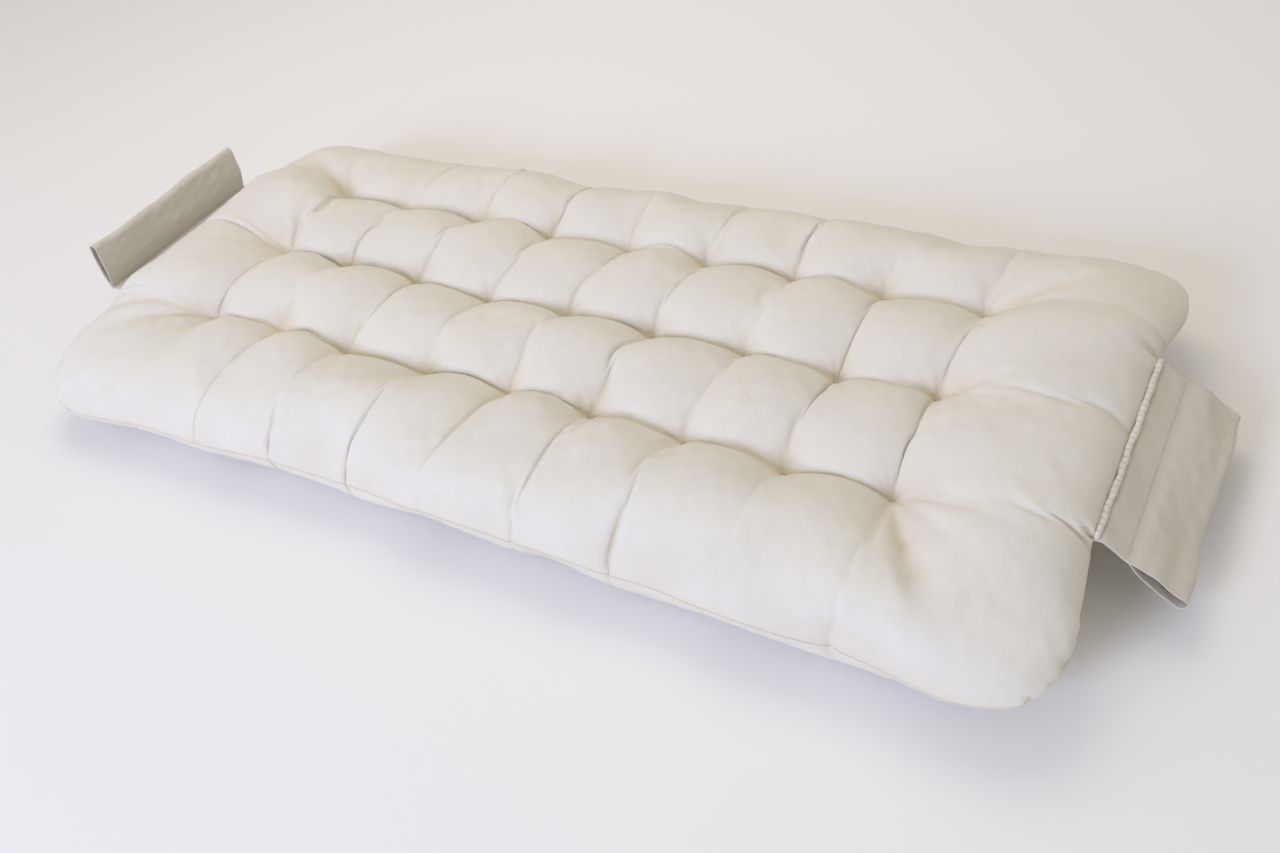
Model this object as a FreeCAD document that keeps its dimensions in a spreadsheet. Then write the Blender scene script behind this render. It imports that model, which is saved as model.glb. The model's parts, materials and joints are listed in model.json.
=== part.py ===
import FreeCAD, Part
import os
from Sketcher import Constraint

# Tufted futon mattress with a cloth slat flap at each end.
# Millimetres. +Z is up and the mattress lies on z = 0. The origin is on the floor, under the middle of the
# mattress. +X runs along its length to the foot end, and the head end is at -X.
#
# The sides of the mattress are vertical up to the seam, where the top and bottom panels of the cover meet.
# The tufts are set by eye, and their grid sits a little towards the head and the back. Each tuft is a conical
# dimple in the top and a shallower one underneath, tied together by a twine.
# A flap is one loop of cloth: a flat web next to the mattress, then a line of stitching, then a pocket that
# is open at both short ends. It bends along its root and along the stitching, so it is two bodies there.

Vector = FreeCAD.Vector
Rotation = FreeCAD.Rotation
Placement = FreeCAD.Placement

SIZES = [
    # the stuffed cover
    ("body_length", 1900),
    ("body_width", 900),
    ("body_height", 175),
    ("corner_radius", 90),
    ("top_edge_radius", 36),
    ("bottom_edge_radius", 65),
    ("cover_gauge", 1.2),
    ("seam_height", 138),
    # the tufts, in rows along the length
    ("tuft_columns", 9),
    ("tuft_rows", 3),
    ("column_pitch", 172),
    ("row_pitch", 218),
    ("tuft_shift_x", -24),
    ("tuft_shift_y", 16),
    ("top_dimple_depth", 52),
    ("bottom_dimple_depth", 26),
    ("dimple_floor_radius", 11),
    ("top_mouth_radius", 52),
    ("bottom_mouth_radius", 34),
    ("needle_radius", 1.8),
    ("twine_radius", 1.4),
    ("knot_radius", 4.5),
    ("bight_length", 15),
    # the filling, layer by layer from the floor up; the core takes what is left
    ("wool_height", 22),
    ("cotton_height", 33),
    # the flaps
    ("flap_width", 400),
    ("flap_gauge", 1.2),
    ("web_length", 46),
    ("pocket_length", 100),
    ("pocket_height", 20),
    ("pocket_flare", 34),
    ("fold_gap", 3),
    ("root_gap", 1),
    ("foot_droop", 36),
    ("seam_roll_radius", 5),
    ("roll_clearance", 1.6),
    ("thread_radius", 0.45),
    ("stitch_length", 4.5),
    ("stitch_pitch", 7.5),
    ("closing_stitch_pitch", 13),
    ("closing_stitch_sweep", 128),
]

DERIVED = [
    ("column_run", "(tuft_columns - 1) * column_pitch"),
    ("row_run", "(tuft_rows - 1) * row_pitch"),
    ("first_tuft_x", "tuft_shift_x - column_run / 2"),
    ("first_tuft_y", "tuft_shift_y - row_run / 2"),
    ("top_dimple_floor", "body_height - top_dimple_depth"),
    ("core_bottom", "cover_gauge + wool_height + cotton_height"),
    ("core_height", "body_height - 2 * core_bottom"),
    ("top_slope", "(top_mouth_radius - dimple_floor_radius) / top_dimple_depth"),
    ("bottom_slope", "(bottom_mouth_radius - dimple_floor_radius) / bottom_dimple_depth"),
    ("top_growth", "cover_gauge * (sqrt(1 + top_slope ^ 2) - top_slope)"),
    ("bottom_growth", "cover_gauge * (sqrt(1 + bottom_slope ^ 2) - bottom_slope)"),
    ("head_root_x", "-body_length / 2 - root_gap"),
    ("foot_root_x", "body_length / 2 + 2 * seam_roll_radius + roll_clearance"),
    ("stitch_count", "floor((flap_width - 12) / stitch_pitch)"),
    ("closing_count", "floor((flap_width - 12) / closing_stitch_pitch)"),
]

doc = FreeCAD.newDocument("futon_mattress")
sheet = doc.addObject("Spreadsheet::Sheet", "Sizes")


def fill_sheet():
    """Each driving size in column B, then the sizes that follow from them."""
    row = 1
    for alias, value in SIZES:
        sheet.set(f"A{row}", alias)
        sheet.set(f"B{row}", str(value))
        sheet.setAlias(f"B{row}", alias)
        row += 1
    for alias, formula in DERIVED:
        sheet.set(f"A{row}", alias)
        sheet.set(f"B{row}", "=" + formula)
        sheet.setAlias(f"B{row}", alias)
        row += 1
    doc.recompute()


def in_sheet(formula):
    """A formula written with the sheet's aliases, as an expression that other objects can use."""
    words = sorted((alias for alias, _ in SIZES + DERIVED), key=len, reverse=True)
    out, place = "", 0
    while place < len(formula):
        if formula[place].isalpha():
            end = place
            while end < len(formula) and (formula[end].isalnum() or formula[end] == "_"):
                end += 1
            word = formula[place:end]
            out += "Sizes." + word if word in words else word
            place = end
        else:
            out += formula[place]
            place += 1
    return out


def bind(thing, **formulas):
    """Binds properties to formulas; a double underscore in a name stands for a dot in the property's path."""
    for path, formula in formulas.items():
        thing.setExpression(path.replace("__", "."), in_sheet(formula))
    return thing


def new_body(name):
    body = doc.addObject("PartDesign::Body", name)
    body.Label = name
    body.AllowCompound = True
    return body


def origin_part(body, role):
    return next(part for part in body.Origin.OriginFeatures if part.Role == role)


def new_sketch(body, name, plane="XY_Plane"):
    sketch = body.newObject("Sketcher::SketchObject", name)
    sketch.AttachmentSupport = [(origin_part(body, plane), "")]
    sketch.MapMode = "FlatFace"
    return sketch


# ---- shapes drawn in sketches -------------------------------------------------------------------------


def draw_rectangle(sketch, along, across):
    """A rectangle centred on the sketch's origin, with sides bound to two formulas."""
    a, b = 100.0, 50.0
    corners = [Vector(-a, -b, 0), Vector(a, -b, 0), Vector(a, b, 0), Vector(-a, b, 0)]
    for i in range(4):
        sketch.addGeometry(Part.LineSegment(corners[i], corners[(i + 1) % 4]), False)
    for i in range(4):
        sketch.addConstraint(Constraint("Coincident", i, 2, (i + 1) % 4, 1))
    for i in (0, 2):
        sketch.addConstraint(Constraint("Horizontal", i))
    for i in (1, 3):
        sketch.addConstraint(Constraint("Vertical", i))
    sketch.addConstraint(Constraint("Symmetric", 0, 1, 2, 1, -1, 1))
    width = sketch.addConstraint(Constraint("DistanceX", 0, 1, 0, 2, 2 * a))
    height = sketch.addConstraint(Constraint("DistanceY", 1, 1, 1, 2, 2 * b))
    sketch.setExpression(f"Constraints[{width}]", in_sheet(along))
    sketch.setExpression(f"Constraints[{height}]", in_sheet(across))


def draw_teardrop(sketch, start, start_half, flare_end, half, end):
    """A loop symmetric about the sketch's x axis: a blunt or pointed start, a flare, and a round far end.

    The formulas give the start's x and half height, where the flare ends, the half height, and the far x.
    """
    first = sketch.GeometryCount
    x0, x1, x2, top = 5.0, 30.0, 90.0, 8.0
    blunt = start_half is not None
    low = 1.0 if blunt else 0.0
    lines = [
        (Vector(x0, low, 0), Vector(x1, top, 0)),
        (Vector(x1, top, 0), Vector(x2, top, 0)),
        (Vector(x2, -top, 0), Vector(x1, -top, 0)),
        (Vector(x1, -top, 0), Vector(x0, -low, 0)),
    ]
    for p, q in lines:
        sketch.addGeometry(Part.LineSegment(p, q), False)
    upper, roof, ground, lower = range(first, first + 4)
    arc = sketch.addGeometry(
        Part.Arc(Vector(x2, -top, 0), Vector(x2 + top, 0, 0), Vector(x2, top, 0)), False
    )
    add = sketch.addConstraint
    add(Constraint("Coincident", upper, 2, roof, 1))
    add(Constraint("Coincident", ground, 2, lower, 1))
    add(Constraint("Tangent", roof, 2, arc, 2))
    add(Constraint("Tangent", arc, 1, ground, 1))
    add(Constraint("PointOnObject", arc, 3, -1))
    add(Constraint("Symmetric", upper, 2, lower, 1, -1))
    add(Constraint("Horizontal", roof))
    if blunt:
        nose = sketch.addGeometry(Part.LineSegment(Vector(x0, -low, 0), Vector(x0, low, 0)), False)
        add(Constraint("Coincident", lower, 2, nose, 1))
        add(Constraint("Coincident", nose, 2, upper, 1))
        add(Constraint("Symmetric", nose, 1, nose, 2, -1))
        nose_high = add(Constraint("DistanceY", nose, 1, nose, 2, 2 * low))
        sketch.setExpression(f"Constraints[{nose_high}]", in_sheet(f"2 * ({start_half})"))
    else:
        add(Constraint("Coincident", lower, 2, upper, 1))
        add(Constraint("PointOnObject", upper, 1, -1))
    dimensions = [
        (Constraint("DistanceX", -1, 1, upper, 1, x0), start),
        (Constraint("DistanceX", -1, 1, upper, 2, x1), flare_end),
        (Constraint("Radius", arc, top), half),
        (Constraint("DistanceX", -1, 1, arc, 3, x2), f"({end}) - ({half})"),
    ]
    for constraint, formula in dimensions:
        index = add(constraint)
        sketch.setExpression(f"Constraints[{index}]", in_sheet(formula))


# ---- features -----------------------------------------------------------------------------------------


def pad(body, sketch, length, midplane=False):
    feature = body.newObject("PartDesign::Pad", sketch.Name + "_pad")
    feature.Profile = sketch
    if midplane:
        feature.Midplane = True
    bind(feature, Length=length)
    doc.recompute()
    return feature


def fillet(body, base, wanted, radius, name):
    """Rounds each edge of base for which wanted(edge) is true."""
    edges = [f"Edge{i + 1}" for i, edge in enumerate(base.Shape.Edges) if wanted(edge)]
    feature = body.newObject("PartDesign::Fillet", name)
    feature.Base = (base, edges)
    bind(feature, Radius=radius)
    doc.recompute()
    return feature


def upright(edge):
    box = edge.BoundBox
    return box.ZLength > 1 and box.XLength < 0.01 and box.YLength < 0.01


def level_at(z):
    def wanted(edge):
        box = edge.BoundBox
        return box.ZLength < 0.01 and abs(box.ZMin - z) < 0.01

    return wanted


def primitive(body, kind, name, place, **formulas):
    """An additive or subtractive primitive of the body, at a fixed turn and a bound place."""
    feature = body.newObject("PartDesign::" + kind, name)
    feature.AttachmentSupport = [(origin_part(body, "XY_Plane"), "")]
    feature.MapMode = "FlatFace"
    turn, x, y, z = place
    feature.AttachmentOffset = Placement(Vector(0, 0, 0), turn)
    bind(
        feature,
        AttachmentOffset__Base__x=x,
        AttachmentOffset__Base__y=y,
        AttachmentOffset__Base__z=z,
        **formulas,
    )
    doc.recompute()
    return feature


def pattern(body, feature, *runs):
    """Repeats a feature along the body's axes; each run is role of the axis, length and count."""
    steps = []
    for role, run, count in runs:
        step = body.newObject("PartDesign::LinearPattern", f"{feature.Name}_{role[0]}_run")
        step.Direction = (origin_part(body, role), [""])
        bind(step, Length=run, Occurrences=count)
        steps.append(step)
    if len(steps) == 1:
        steps[0].Originals = [feature]
        last = steps[0]
    else:
        last = body.newObject("PartDesign::MultiTransform", feature.Name + "_grid")
        last.Originals = [feature]
        last.Transformations = steps
    body.Tip = last
    doc.recompute()
    return last


FLAT = Rotation()
ALONG_X = Rotation(Vector(0, 1, 0), 90)
ALONG_Y = Rotation(Vector(1, 0, 0), -90)


def stuffed_form(name, inset, top_growth, bottom_growth):
    """The stuffed cover as a solid: a slab with round edges and a grid of tuft dimples on both faces.

    inset is how far it lies inside the cover's outer surface; the growths widen the dimples to match.
    """
    body = new_body(name)
    outline = new_sketch(body, name + "_outline")
    draw_rectangle(outline, f"body_length - 2 * {inset}", f"body_width - 2 * {inset}")
    doc.recompute()
    slab = pad(body, outline, f"body_height - 2 * {inset}")
    corners = fillet(body, slab, upright, f"corner_radius - {inset}", name + "_corners")
    top_z = slab.Shape.BoundBox.ZMax
    crown = fillet(body, corners, level_at(top_z), f"top_edge_radius - {inset}", name + "_crown")
    fillet(body, crown, level_at(0), f"bottom_edge_radius - {inset}", name + "_base")
    dimples = [
        ("top", f"body_height - 2 * {inset} - top_dimple_depth", top_growth, "top_dimple_depth"),
        ("bottom", "0", bottom_growth, "bottom_dimple_depth"),
    ]
    for face, z, growth, depth in dimples:
        floor_radius = f"dimple_floor_radius + {growth}"
        mouth_radius = f"{face}_mouth_radius + {growth}"
        low, high = (floor_radius, mouth_radius) if face == "top" else (mouth_radius, floor_radius)
        dimple = primitive(
            body,
            "SubtractiveCone",
            f"{name}_{face}_dimple",
            (FLAT, "first_tuft_x", "first_tuft_y", z),
            Radius1=low,
            Radius2=high,
            Height=depth,
        )
        pattern(
            body,
            dimple,
            ("X_Axis", "column_run", "tuft_columns"),
            ("Y_Axis", "row_run", "tuft_rows"),
        )
    bind(body, Placement__Base__z=inset)
    doc.recompute()
    return body


def needle_paths():
    """The holes that the tufting needle leaves, one through every layer at each tuft."""
    body = new_body("needle_paths")
    hole = primitive(
        body,
        "AdditiveCylinder",
        "needle_path",
        (FLAT, "first_tuft_x", "first_tuft_y", "-1"),
        Radius="needle_radius",
        Height="body_height + 2",
    )
    pattern(
        body,
        hole,
        ("X_Axis", "column_run", "tuft_columns"),
        ("Y_Axis", "row_run", "tuft_rows"),
    )
    return body


def block(name, bottom, height, margin="10"):
    """A box from one height to another, wider than the mattress by a margin all round."""
    box = doc.addObject("Part::Box", name)
    bind(
        box,
        Length=f"body_length + 2 * {margin}",
        Width=f"body_width + 2 * {margin}",
        Height=height,
        Placement__Base__x=f"-body_length / 2 - {margin}",
        Placement__Base__y=f"-body_width / 2 - {margin}",
        Placement__Base__z=bottom,
    )
    return box


def boolean(kind, name, base, tool):
    result = doc.addObject("Part::" + kind, name)
    result.Base = base
    result.Tool = tool
    result.Label = name
    return result


def filling_layer(name, inner, needles, bottom, height):
    slab = boolean("Common", name + "_slab", inner, block(name + "_block", bottom, height))
    return boolean("Cut", name, slab, needles)


def tie_row(name, row):
    """One row of ties: a twine through the mattress, a bight across the top dimple and a knot underneath."""
    body = new_body(name)
    twine = primitive(
        body,
        "AdditiveCylinder",
        name + "_twine",
        (FLAT, "first_tuft_x", "0", "bottom_dimple_depth - knot_radius"),
        Radius="twine_radius",
        Height="top_dimple_floor - bottom_dimple_depth + knot_radius + twine_radius",
    )
    pattern(body, twine, ("X_Axis", "column_run", "tuft_columns"))
    bight = primitive(
        body,
        "AdditiveCylinder",
        name + "_bight",
        (ALONG_X, "first_tuft_x - bight_length / 2", "0", "top_dimple_floor + twine_radius"),
        Radius="twine_radius",
        Height="bight_length",
    )
    pattern(body, bight, ("X_Axis", "column_run", "tuft_columns"))
    knot = primitive(
        body,
        "AdditiveSphere",
        name + "_knot",
        (FLAT, "first_tuft_x", "0", "bottom_dimple_depth - knot_radius"),
        Radius="knot_radius",
    )
    pattern(body, knot, ("X_Axis", "column_run", "tuft_columns"))
    bind(body, Placement__Base__y=f"tuft_shift_y + {row} * row_pitch")
    doc.recompute()
    return body


def place_on_hinge(body, x, z, turn):
    """Puts a flap piece, drawn with its hinge line at its own origin, at x and z and turned about Y."""
    body.Placement = Placement(Vector(0, 0, 0), Rotation(Vector(0, 1, 0), 10))
    bind(body, Placement__Base__x=x, Placement__Base__z=z, Placement__Rotation__Angle=turn)
    doc.recompute()


def flap_web(name, x, z, turn):
    """The flat part of a flap, two layers of cloth, drawn outward from its root along its own +X."""
    body = new_body(name)
    web = primitive(
        body,
        "AdditiveBox",
        name + "_cloth",
        (FLAT, "root_gap", "-flap_width / 2", "-flap_gauge"),
        Length="web_length - fold_gap - root_gap",
        Width="flap_width",
        Height="2 * flap_gauge",
    )
    body.Tip = web
    place_on_hinge(body, x, z, turn)
    return body


def flap_pocket(name, x, z, turn):
    """The pocket of a flap: a flattened tube of cloth, open at both short ends."""
    body = new_body(name)
    section = new_sketch(body, name + "_section", "XZ_Plane")
    draw_teardrop(
        section, "fold_gap", "flap_gauge", "pocket_flare", "pocket_height / 2", "pocket_length"
    )
    draw_teardrop(
        section,
        "fold_gap + 6 * flap_gauge",
        None,
        "pocket_flare",
        "pocket_height / 2 - flap_gauge",
        "pocket_length - flap_gauge",
    )
    doc.recompute()
    pad(body, section, "flap_width", midplane=True)
    place_on_hinge(body, x, z, turn)
    return body


def pocket_stitching(name, side, x, z, turn):
    """The stitches that close the pocket's inner side, in a row on one side of the web: 1 or -1."""
    body = new_body(name)
    stitch = primitive(
        body,
        "AdditiveCylinder",
        name + "_stitch",
        (
            ALONG_Y,
            "web_length - fold_gap - 3",
            "-(stitch_count - 1) * stitch_pitch / 2 - stitch_length / 2",
            f"{side} * (flap_gauge + thread_radius)",
        ),
        Radius="thread_radius",
        Height="stitch_length",
    )
    pattern(body, stitch, ("Y_Axis", "(stitch_count - 1) * stitch_pitch", "stitch_count"))
    place_on_hinge(body, x, z, turn)
    return body


def closing_seam():
    """The hand-closed seam at the foot: the turned-in edges rolled into a ridge, over the flap's sewn margin."""
    body = new_body("closing_seam_roll")
    x = "body_length / 2 + seam_roll_radius"
    primitive(
        body,
        "AdditiveCylinder",
        "closing_seam_ridge",
        (ALONG_Y, x, "-flap_width / 2", "seam_height + seam_roll_radius"),
        Radius="seam_roll_radius",
        Height="flap_width",
    )
    margin = primitive(
        body,
        "AdditiveBox",
        "closing_seam_margin",
        (FLAT, "body_length / 2", "-flap_width / 2", "seam_height - flap_gauge"),
        Length="2 * seam_roll_radius",
        Width="flap_width",
        Height="2 * flap_gauge",
    )
    body.Tip = margin
    doc.recompute()
    return body


def closing_stitches():
    """Whip stitches over the rolled seam, evenly spaced, each most of a half turn around the ridge."""
    body = new_body("closing_seam_stitches")
    stitch = primitive(
        body,
        "AdditiveTorus",
        "closing_stitch",
        (
            Rotation(Vector(1, 0, 0), 90),
            "body_length / 2 + seam_roll_radius",
            "-(closing_count - 1) * closing_stitch_pitch / 2",
            "seam_height + seam_roll_radius",
        ),
        Radius1="seam_roll_radius + thread_radius",
        Radius2="thread_radius",
        Angle3="closing_stitch_sweep",
    )
    run = "(closing_count - 1) * closing_stitch_pitch"
    pattern(body, stitch, ("Y_Axis", run, "closing_count"))
    return body


# ---- the mattress, piece by piece ---------------------------------------------------------------------

fill_sheet()

outer = stuffed_form("outer_form", "0", "0", "0")
inner = stuffed_form("inner_form", "cover_gauge", "top_growth", "bottom_growth")
needles = needle_paths()
casing = boolean("Cut", "casing_shell", outer, inner)
# The top dimples reach below the seam, so the top panel's side of the split is deeper inside the cover.
above_seam = block("above_seam", "seam_height", "body_height")
inside_edge = block("inside_edge", "body_height / 2", "body_height", "(-bottom_edge_radius)")
top_side = boolean("Fuse", "top_side", above_seam, inside_edge)
top_half = boolean("Common", "casing_top_half", casing, top_side)
bottom_half = boolean("Cut", "casing_bottom_half", casing, top_side)

parts = [
    boolean("Cut", "cover_top_panel", top_half, needles),
    boolean("Cut", "cover_bottom_panel", bottom_half, needles),
    filling_layer("wool_layer_bottom", inner, needles, "0", "cover_gauge + wool_height"),
    filling_layer(
        "cotton_batt_lower", inner, needles, "cover_gauge + wool_height", "cotton_height"
    ),
    filling_layer("core_batt", inner, needles, "core_bottom", "core_height"),
    filling_layer(
        "cotton_batt_upper", inner, needles, "core_bottom + core_height", "cotton_height"
    ),
    filling_layer(
        "wool_layer_top",
        inner,
        needles,
        "body_height - cover_gauge - wool_height",
        "wool_height + cover_gauge",
    ),
    tie_row("tuft_ties_front_row", -1),
    tie_row("tuft_ties_middle_row", 0),
    tie_row("tuft_ties_back_row", 1),
    closing_seam(),
    closing_stitches(),
]

# The head web lies level, and its pocket stands up from the fold. The whole foot flap droops outward.
HEAD_WEB = ("head_root_x", "seam_height", "180")
HEAD_POCKET = ("head_root_x - web_length", "seam_height", "-90")
FOOT_WEB = ("foot_root_x", "seam_height", "foot_droop")
FOOT_POCKET = (
    "foot_root_x + web_length * cos(foot_droop * 1 deg)",
    "seam_height - web_length * sin(foot_droop * 1 deg)",
    "foot_droop",
)
parts += [
    flap_web("head_flap_web", *HEAD_WEB),
    flap_pocket("head_flap_pocket", *HEAD_POCKET),
    pocket_stitching("head_pocket_stitching", -1, *HEAD_WEB),
    flap_web("foot_flap_web", *FOOT_WEB),
    flap_pocket("foot_flap_pocket", *FOOT_POCKET),
    pocket_stitching("foot_pocket_stitching", 1, *FOOT_WEB),
]
doc.recompute()

# ---- checks and files ---------------------------------------------------------------------------------

failed = [thing.Name for thing in doc.Objects if {"Invalid", "Error"} & set(thing.State)]
if failed:
    raise SystemExit(f"failed objects: {failed}")

os.makedirs("parts", exist_ok=True)
for part in parts:
    shape = part.Shape
    if shape.isNull() or not shape.isValid() or not shape.Solids:
        raise SystemExit(f"{part.Label} has no valid solid")
    box = shape.optimalBoundingBox()
    print(
        f"{part.Label:26s} solids {len(shape.Solids):3d}  volume {shape.Volume:14.1f}"
        f"  x {box.XMin:8.1f} {box.XMax:8.1f}  y {box.YMin:7.1f} {box.YMax:7.1f}"
        f"  z {box.ZMin:6.1f} {box.ZMax:6.1f}"
    )
    shape.exportStep(os.path.join("parts", part.Label + ".step"))
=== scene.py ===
import json
import math

import bpy
import numpy as np
from mathutils import Matrix, Vector


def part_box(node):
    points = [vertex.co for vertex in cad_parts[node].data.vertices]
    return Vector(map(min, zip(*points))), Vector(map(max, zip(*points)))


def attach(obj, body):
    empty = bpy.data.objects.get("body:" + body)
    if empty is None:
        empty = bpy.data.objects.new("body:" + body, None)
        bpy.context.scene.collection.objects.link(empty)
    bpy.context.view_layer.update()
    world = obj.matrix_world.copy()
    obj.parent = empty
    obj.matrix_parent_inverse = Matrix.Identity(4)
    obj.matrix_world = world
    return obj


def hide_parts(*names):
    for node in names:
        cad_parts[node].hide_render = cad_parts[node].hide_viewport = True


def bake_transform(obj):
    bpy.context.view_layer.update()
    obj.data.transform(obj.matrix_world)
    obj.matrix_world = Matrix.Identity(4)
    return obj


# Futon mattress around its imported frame. Metres. The cover is made as the real one is: two flat panels of
# cotton, sewn together round the edge, filled, and drawn in by the tufts. Its cloth is settled by a solver
# written below, on a grid that is finest along the lines from tuft to tuft.

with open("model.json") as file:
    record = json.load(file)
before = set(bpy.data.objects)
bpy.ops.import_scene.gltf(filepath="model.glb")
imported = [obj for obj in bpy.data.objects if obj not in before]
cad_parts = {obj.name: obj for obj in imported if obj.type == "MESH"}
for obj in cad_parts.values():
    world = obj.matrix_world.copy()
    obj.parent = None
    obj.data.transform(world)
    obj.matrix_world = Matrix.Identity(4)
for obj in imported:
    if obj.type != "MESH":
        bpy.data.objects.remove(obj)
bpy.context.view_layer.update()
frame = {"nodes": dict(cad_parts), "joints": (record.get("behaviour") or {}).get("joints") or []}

# ---- sizes --------------------------------------------------------------------------------------------

# The tufts.
TUFT_COLUMNS = 9
ROW_NAMES = ("front", "middle", "back")
BIGHT_LENGTH = 0.015
TWINE_RADIUS = 0.0014
KNOT_RADIUS = 0.0045
KNOT_SHAPE = (0.32, 0.32, 0.5)  # the trefoil's own size, as shares of that radius
TAIL_REACH = (2.5, 4.5)  # of a knot's tails, in knot radii
STITCH_REACH = 0.003  # how far beside its twine a tuft holds the cloth
STITCH_GATHER = (0.6, 0.5)  # held cloth, as a share of its flat size, along and across
TUFT_SCATTER = 0.007  # how far a hand-set tuft strays from its grid
ROW_FAN = 0.03  # how much further apart the rows are at the foot than at the middle, and nearer at the head

# The cover. Cloth between two tufts, as a multiple of the distance once tied, along and across.
TOP_EASE = (1.04, 1.095)
BOTTOM_EASE = (1.02, 1.03)
# How much longer the cloth is than the distance, from the last tuft to the end seam, and to the side seam.
TOP_RISE = (0.034, 0.053)
BOTTOM_RISE = (0.028, 0.030)
CORNER_CUT = 0.175  # radius that the panels' corners are cut to
CREASE_WIDTH = 0.005  # the filling is pressed down in a line from tuft to tuft
CREASE_PULL = 1.7  # and draws the cloth in there, as a multiple of its push elsewhere
CREASE_WANDER = 0.011  # how far that line strays from straight
CREASE_WANDER_SIZE = 0.06
CREASE_LEAST = (0.15, 0.6)  # the least depth, from 0 to 1, of a crease across the rows, and along them
# Pleats from an outer tuft, to the end seam and to the side seam: how far each turns away from straight out.
PLEAT_TURNS = ((-0.55, -0.25, 0.25, 0.55), (-0.5, 0.4))
PLEAT_STRAY = 0.1
PLEAT_BOW = 0.12
PLEAT_REACH = (0.5, 0.95)  # share of the way to the seam
PLEAT_DEPTH = (0.3, 0.95)
LUMPINESS = 0.4  # of the filling
LUMP_SIZE = 0.09  # and how wide its lumps are

LANE_CELLS = (8, 10)  # cells between two tufts in the coarsest cloth, along and across
EDGE_CELLS = (14, 13)  # and from the last tuft to the seam
GRADING = 0.6  # how much narrower the cells are beside a line of tufts
LEVELS = (
    # steps, sweeps in a step, stiffness in bending
    (300, 6, 0.01),
    (160, 6, 0.012),
    (90, 6, 0.015),
)
PUSH = 0.00006  # how far the filling moves free cloth in one step
WEIGHT = 0.0000045  # how far its own weight moves it
DRAG = 0.90  # share of its speed that the cloth keeps
THREAD_HOLD = (1.0, 0.8)  # share of a stretch, and of a squeeze, that one sweep takes out along the threads
BIAS_HOLD = (0.25, 0.15)  # and along the bias
NEAREST = 0.05  # share of a cell that a fold's neighbouring points keep apart
FIRST_RISE = 0.045  # of a dome above its tufts, before the solver starts
FIRST_BUMPS = 0.002
FIRST_BUMP_SIZE = 0.03

LAYER_INSET = 0.045  # share of the thickness that the filling stays inside the cover by
LAYER_GAP = 0.001  # between two layers of it
FILLING_CELLS = 4  # of the cloth's cells to one of a filling's
FILLING_MARGIN = 8  # cells that it stays away from the seam
CRUMPLE = 0.0008  # of cloth that has been sat on
CRUMPLE_SIZE = 0.022
FLAT_ROUND_TUFT = 0.012  # no gathers nearer than this
FLAT_BESIDE_SEAM = 0.02
PUCKER = 0.0009  # gathers round a tuft
PUCKER_REACH = 0.045
PUCKER_FOLDS = (5, 7, 9, 12)  # round a tuft, laid over one another
FOLD_DEPTH = 0.014  # a fold this deep takes the whole of the painted crease shade
FOLD_CELLS = 9  # and is measured against the cloth this many cells each way

FLAP_GAUGE = 0.0012
SEAM_TUCK = 0.004  # how far a flap's cloth goes into the seam
POCKET_HALF = 0.0088  # half the pocket's thickness
POCKET_SEWN = 0.002  # its walls lie on one another this far from the crease
POCKET_FLARE = ((0.016, 0.6), (0.036, 1.0))  # then open: places along it, and shares of that thickness
FOOT_POCKET_LENGTH = 0.100
FLAP_SWAY = 0.0025  # both walls of a pocket together
FLAP_RIDGE = 0.0018
FLAP_WRINKLE = 0.0006
FLAP_EDGE = 0.0022  # unevenness of a pocket's free edge
WEB_SLACK = 0.0011  # height of a web's waves
ROLL_WANDER = 0.0012  # how far the roll strays from straight
ROLL_ENDS = 0.010  # it tapers off over this length
WHIP_PITCH = 0.013  # from one whip stitch to the next
WHIP_SLANT = 0.006  # how far along the seam one stitch goes
WHIP_STRAY = 0.0012
THREAD_RADIUS = 0.00045
ROUNDING = 6  # passes that smooth a path's corners

HALF_LENGTH, HALF_WIDTH, SEAM_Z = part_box("cover_bottom_panel")[1]
FLAP_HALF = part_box("head_flap_web")[1].y

tie_boxes = [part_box(f"tuft_ties_{row}_row") for row in ROW_NAMES]
TUFT_Y = np.array([(low.y + high.y) / 2 for low, high in tie_boxes])
TUFT_X = np.linspace(
    tie_boxes[0][0].x + BIGHT_LENGTH / 2, tie_boxes[0][1].x - BIGHT_LENGTH / 2, TUFT_COLUMNS
)
TOP_TIE_Z = tie_boxes[0][1].z - 2 * TWINE_RADIUS
BOTTOM_TIE_Z = tie_boxes[0][0].z + 2 * KNOT_RADIUS

# ---- the cover's cloth --------------------------------------------------------------------------------

SCATTER = np.random.default_rng(27).uniform(-1, 1, (len(TUFT_Y), TUFT_COLUMNS, 3)) * TUFT_SCATTER


def tuft_spot(row, column, z):
    """Where a tuft's stitch crosses the cloth at that height."""
    x = TUFT_X[column]
    y = TUFT_Y[1] + (TUFT_Y[row] - TUFT_Y[1]) * (1 + ROW_FAN * x / TUFT_X[-1])
    return np.array([x, y, z]) + SCATTER[row, column] * (1, 1, 0.5 if z > SEAM_Z / 2 else 0)


def on_cloth(axis, ease, rise):
    """Where the tufts' lines and the panel's two edges are on the flat cloth, along one axis."""
    tufts, half = ((TUFT_X, HALF_LENGTH), (TUFT_Y, HALF_WIDTH))[axis]
    middle = (tufts[0] + tufts[-1]) / 2
    first, last = (middle + (tufts[k] - middle) * TOP_EASE[axis] for k in (0, -1))
    low = first - (tufts[0] + half) - rise[axis]
    high = last + (half - tufts[-1]) + rise[axis]
    return np.concatenate([[low], middle + (tufts - middle) * ease[axis], [high]])


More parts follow.
